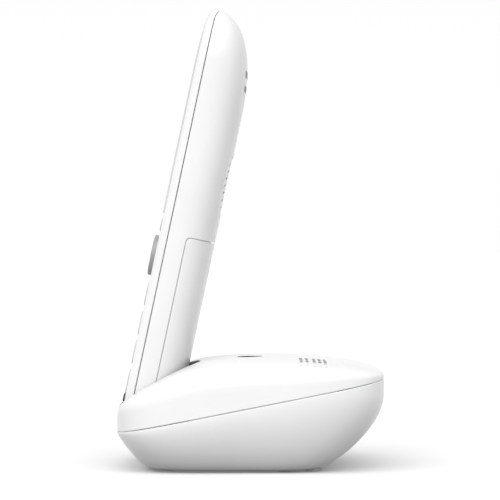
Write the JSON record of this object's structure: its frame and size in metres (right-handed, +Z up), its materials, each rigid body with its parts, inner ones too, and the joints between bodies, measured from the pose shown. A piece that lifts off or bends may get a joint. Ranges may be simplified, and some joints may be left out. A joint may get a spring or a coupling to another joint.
{
  "type": "cordless phone with base",
  "caption": "Slim white cordless handset leaning back in a rounded charging base, with a display plate, keypad, nav pad, battery door, speaker grille and a finder button on the dome.",
  "frame": {"origin": "on the desk under the middle of the base", "axes": "+Z up, -Y the side the phone's keys face, +X the phone's right as seen from behind it"},
  "size_m": [0.098, 0.105, 0.1819],
  "materials": {
    "white_plastic": "satin white moulded plastic",
    "white_gloss": "gloss white front plate",
    "grey_plastic": "silver-grey painted plastic",
    "dark_plastic": "matt near-black plastic",
    "rubber": "matt grey rubber",
    "board_green": "solder-masked board",
    "steel": "plated steel",
    "contact_gold": "gold-plated contact metal",
    "cell_wrap": "plain printed sleeve",
    "panel_glass": "display glass"
  },
  "bodies": {
    "base": {"base_upper_shell": "white_plastic", "base_lower_shell": "white_plastic", "cradle_pocket": "dark_plastic", "base_circuit_board": "board_green", "base_radio_shield": "steel", "page_switch": "dark_plastic", "line_socket": "dark_plastic", "power_socket": "dark_plastic", "rubber_foot_1": "rubber", "rubber_foot_2": "rubber", "rubber_foot_3": "rubber", "rubber_foot_4": "rubber", "base_screw_left": "steel", "base_screw_right": "steel"},
    "handset": {"handset_front_cover": "white_plastic", "handset_back_cover": "white_plastic", "front_lens": "white_gloss", "speaker_grille": "white_plastic", "handset_circuit_board": "board_green", "key_mat": "rubber", "lcd_panel": "panel_glass", "lcd_backlight": "white_plastic", "earpiece_receiver": "dark_plastic", "microphone": "steel", "loudspeaker": "dark_plastic", "aaa_cell_left": "cell_wrap", "aaa_cell_right": "cell_wrap", "battery_link_plate": "steel", "battery_contact_left": "steel", "battery_contact_right": "steel", "handset_radio_shield": "steel", "handset_antenna": "contact_gold", "handset_charge_pad_left": "steel", "handset_charge_pad_right": "steel", "handset_screw_left": "steel", "handset_screw_right": "steel"},
    "battery_door": {"battery_door": "white_plastic"},
    "key_star": {"key_star": "white_plastic"},
    "key_0": {"key_0": "white_plastic"},
    "key_hash": {"key_hash": "white_plastic"},
    "key_7": {"key_7": "white_plastic"},
    "key_8": {"key_8": "white_plastic"},
    "key_9": {"key_9": "white_plastic"},
    "key_4": {"key_4": "white_plastic"},
    "key_5": {"key_5": "white_plastic"},
    "key_6": {"key_6": "white_plastic"},
    "key_1": {"key_1": "white_plastic"},
    "key_2": {"key_2": "white_plastic"},
    "key_3": {"key_3": "white_plastic"},
    "talk_key": {"talk_key": "white_plastic"},
    "end_key": {"end_key": "white_plastic"},
    "soft_key_left": {"soft_key_left": "white_plastic"},
    "soft_key_right": {"soft_key_right": "white_plastic"},
    "nav_pad": {"nav_pad": "grey_plastic"},
    "page_button": {"page_button": "white_plastic"},
    "base_charge_contact_left": {"base_charge_contact_left": "contact_gold"},
    "base_charge_contact_right": {"base_charge_contact_right": "contact_gold"}
  },
  "joints": [
    {"name": "handset_lift", "type": "slide", "parent": "base", "child": "handset", "axis": [0, 0.2079, 0.9781], "range_m": [0, 0.08]},
    {"name": "battery_door_slide", "type": "slide", "parent": "handset", "child": "battery_door", "axis": [0, -0.2079, -0.9781], "range_m": [0, 0.006]},
    {"name": "key_star_press", "type": "slide", "parent": "handset", "child": "key_star", "axis": [0, 0.9781, -0.2079], "range_m": [0, 0.0008], "stiffness_N_per_m": 800},
    {"name": "key_0_press", "type": "slide", "parent": "handset", "child": "key_0", "axis": [0, 0.9781, -0.2079], "range_m": [0, 0.0008], "stiffness_N_per_m": 800},
    {"name": "key_hash_press", "type": "slide", "parent": "handset", "child": "key_hash", "axis": [0, 0.9781, -0.2079], "range_m": [0, 0.0008], "stiffness_N_per_m": 800},
    {"name": "key_7_press", "type": "slide", "parent": "handset", "child": "key_7", "axis": [0, 0.9781, -0.2079], "range_m": [0, 0.0008], "stiffness_N_per_m": 800},
    {"name": "key_8_press", "type": "slide", "parent": "handset", "child": "key_8", "axis": [0, 0.9781, -0.2079], "range_m": [0, 0.0008], "stiffness_N_per_m": 800},
    {"name": "key_9_press", "type": "slide", "parent": "handset", "child": "key_9", "axis": [0, 0.9781, -0.2079], "range_m": [0, 0.0008], "stiffness_N_per_m": 800},
    {"name": "key_4_press", "type": "slide", "parent": "handset", "child": "key_4", "axis": [0, 0.9781, -0.2079], "range_m": [0, 0.0008], "stiffness_N_per_m": 800},
    {"name": "key_5_press", "type": "slide", "parent": "handset", "child": "key_5", "axis": [0, 0.9781, -0.2079], "range_m": [0, 0.0008], "stiffness_N_per_m": 800},
    {"name": "key_6_press", "type": "slide", "parent": "handset", "child": "key_6", "axis": [0, 0.9781, -0.2079], "range_m": [0, 0.0008], "stiffness_N_per_m": 800},
    {"name": "key_1_press", "type": "slide", "parent": "handset", "child": "key_1", "axis": [0, 0.9781, -0.2079], "range_m": [0, 0.0008], "stiffness_N_per_m": 800},
    {"name": "key_2_press", "type": "slide", "parent": "handset", "child": "key_2", "axis": [0, 0.9781, -0.2079], "range_m": [0, 0.0008], "stiffness_N_per_m": 800},
    {"name": "key_3_press", "type": "slide", "parent": "handset", "child": "key_3", "axis": [0, 0.9781, -0.2079], "range_m": [0, 0.0008], "stiffness_N_per_m": 800},
    {"name": "talk_key_press", "type": "slide", "parent": "handset", "child": "talk_key", "axis": [0, 0.9781, -0.2079], "range_m": [0, 0.0008], "stiffness_N_per_m": 800},
    {"name": "end_key_press", "type": "slide", "parent": "handset", "child": "end_key", "axis": [0, 0.9781, -0.2079], "range_m": [0, 0.0008], "stiffness_N_per_m": 800},
    {"name": "soft_key_left_press", "type": "slide", "parent": "handset", "child": "soft_key_left", "axis": [0, 0.9781, -0.2079], "range_m": [0, 0.0008], "stiffness_N_per_m": 800},
    {"name": "soft_key_right_press", "type": "slide", "parent": "handset", "child": "soft_key_right", "axis": [0, 0.9781, -0.2079], "range_m": [0, 0.0008], "stiffness_N_per_m": 800},
    {"name": "nav_pad_rock", "type": "hinge", "parent": "handset", "child": "nav_pad", "pos_m": [0, -0.03688, 0.08361], "axis": [1, 0, 0], "range_deg": [-2.5, 2.5], "stiffness_Nm_per_rad": 0.08},
    {"name": "page_button_press", "type": "slide", "parent": "base", "child": "page_button", "axis": [0, 0, -1], "range_m": [0, 0.0008], "stiffness_N_per_m": 800},
    {"name": "base_charge_contact_left_press", "type": "slide", "parent": "base", "child": "base_charge_contact_left", "axis": [0, -0.2079, -0.9781], "range_m": [0, 0.001], "stiffness_N_per_m": 500},
    {"name": "base_charge_contact_right_press", "type": "slide", "parent": "base", "child": "base_charge_contact_right", "axis": [0, -0.2079, -0.9781], "range_m": [0, 0.001], "stiffness_N_per_m": 500}
  ]
}
